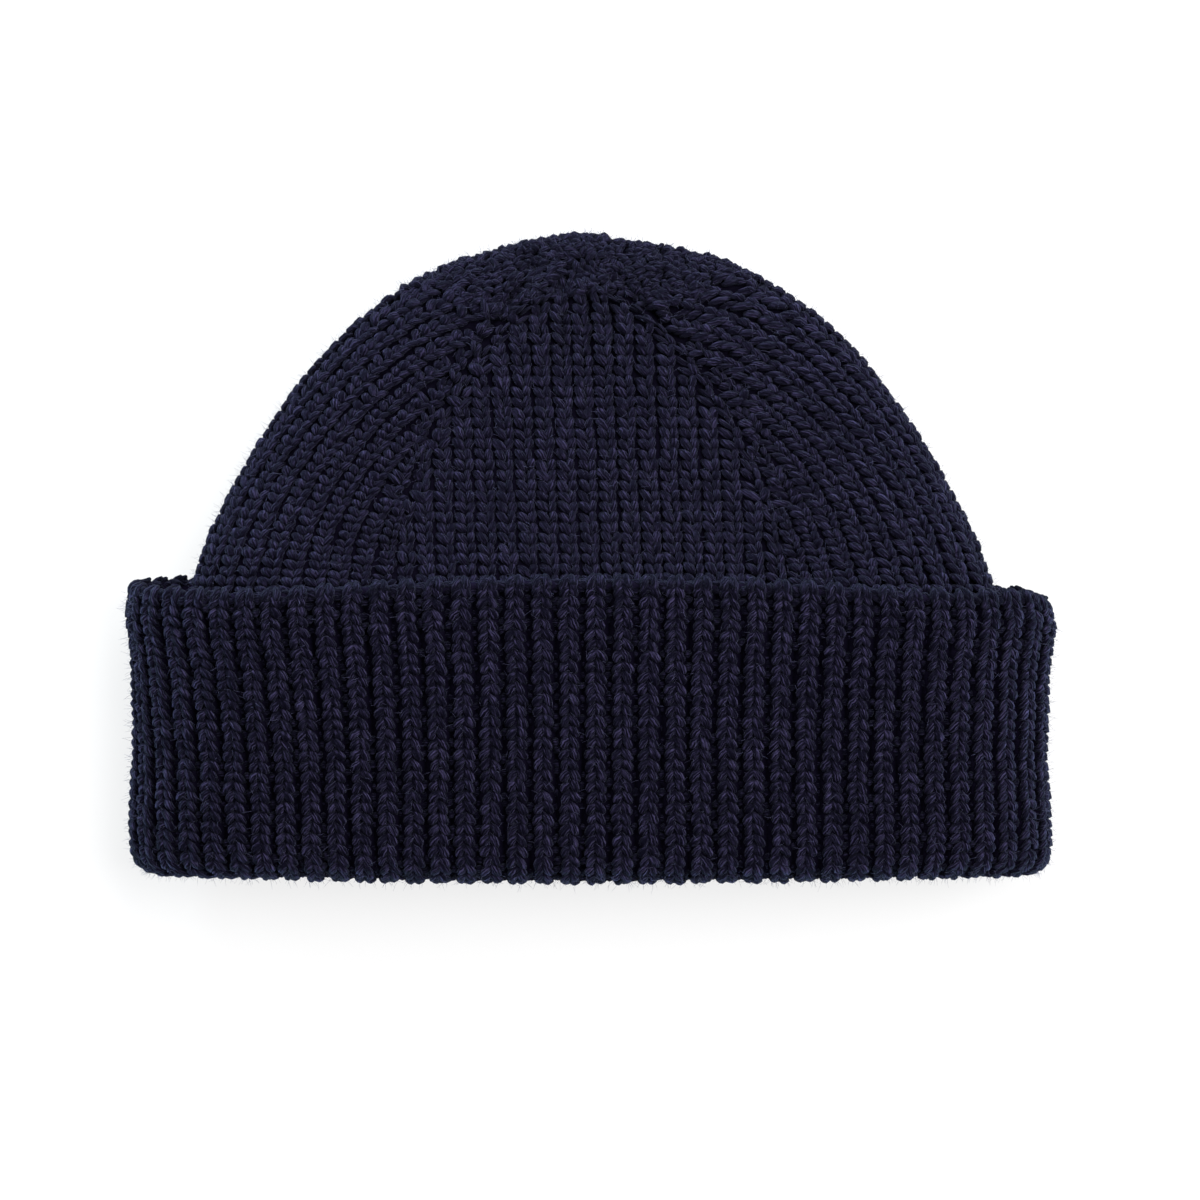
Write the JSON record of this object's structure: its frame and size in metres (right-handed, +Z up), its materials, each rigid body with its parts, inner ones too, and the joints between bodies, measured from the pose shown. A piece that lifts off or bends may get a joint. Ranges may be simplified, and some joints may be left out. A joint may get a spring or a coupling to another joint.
{
  "type": "knit beanie",
  "caption": "Navy knit beanie with a deep turned-up rib cuff and a gored crown gathered at the tip, lying flat; worn on the head for warmth.",
  "frame": {"origin": "centre of the cap's outline, on the surface it lies on", "axes": "+X across the cap, +Y from the mouth to the tip of the crown, +Z up from the surface"},
  "size_m": [0.242, 0.1696, 0.0398],
  "materials": {
    "crown_knit": "soft plain-knit merino, matt with a fine fuzz",
    "cuff_rib": "soft rib-knit merino, matt with a fine fuzz"
  },
  "bodies": {
    "root": {"crown": "crown_knit", "cuff": "cuff_rib"}
  },
  "joints": []
}
